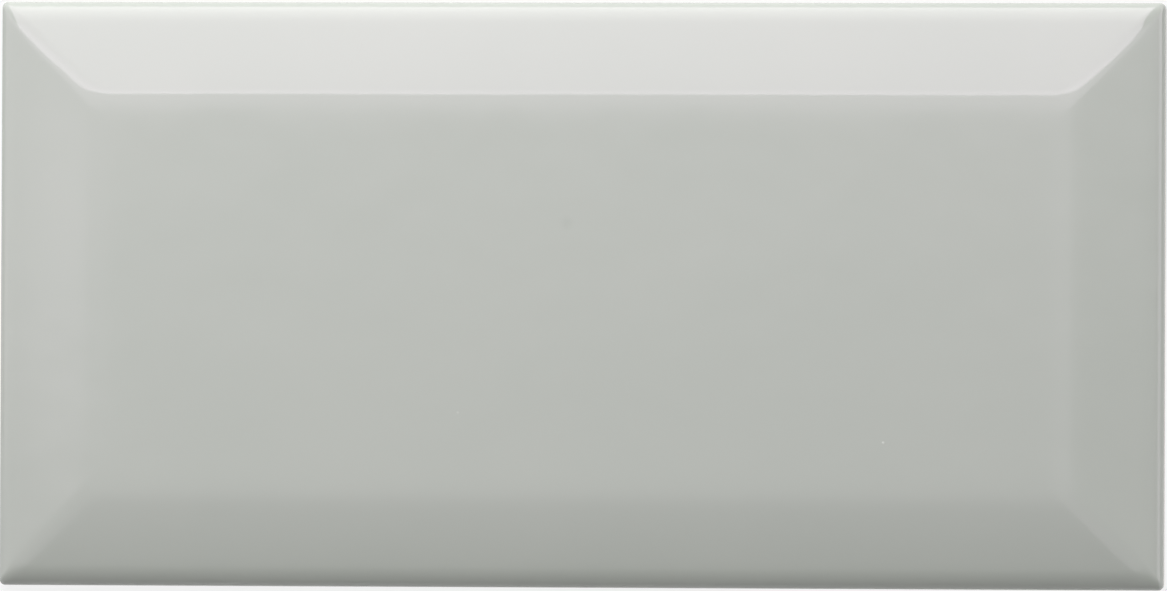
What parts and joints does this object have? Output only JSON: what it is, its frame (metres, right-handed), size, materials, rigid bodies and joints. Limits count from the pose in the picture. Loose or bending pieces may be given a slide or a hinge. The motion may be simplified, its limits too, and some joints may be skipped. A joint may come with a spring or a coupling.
{
  "type": "bevelled wall tile",
  "caption": "Rectangular glazed ceramic wall tile with a flat centre panel, wide bevelled edges, rounded arrises and rim, and a waffle-keyed back for adhesive.",
  "frame": {"origin": "middle of the flat back, level with the tops of its ribs", "axes": "+X along the tile's length, +Y across its width, +Z out of the glazed face"},
  "size_m": [0.2, 0.1, 0.007],
  "materials": {
    "glazed_ceramic": "gloss"
  },
  "bodies": {
    "root": {"bevelled_tile": "glazed_ceramic"}
  },
  "joints": []
}
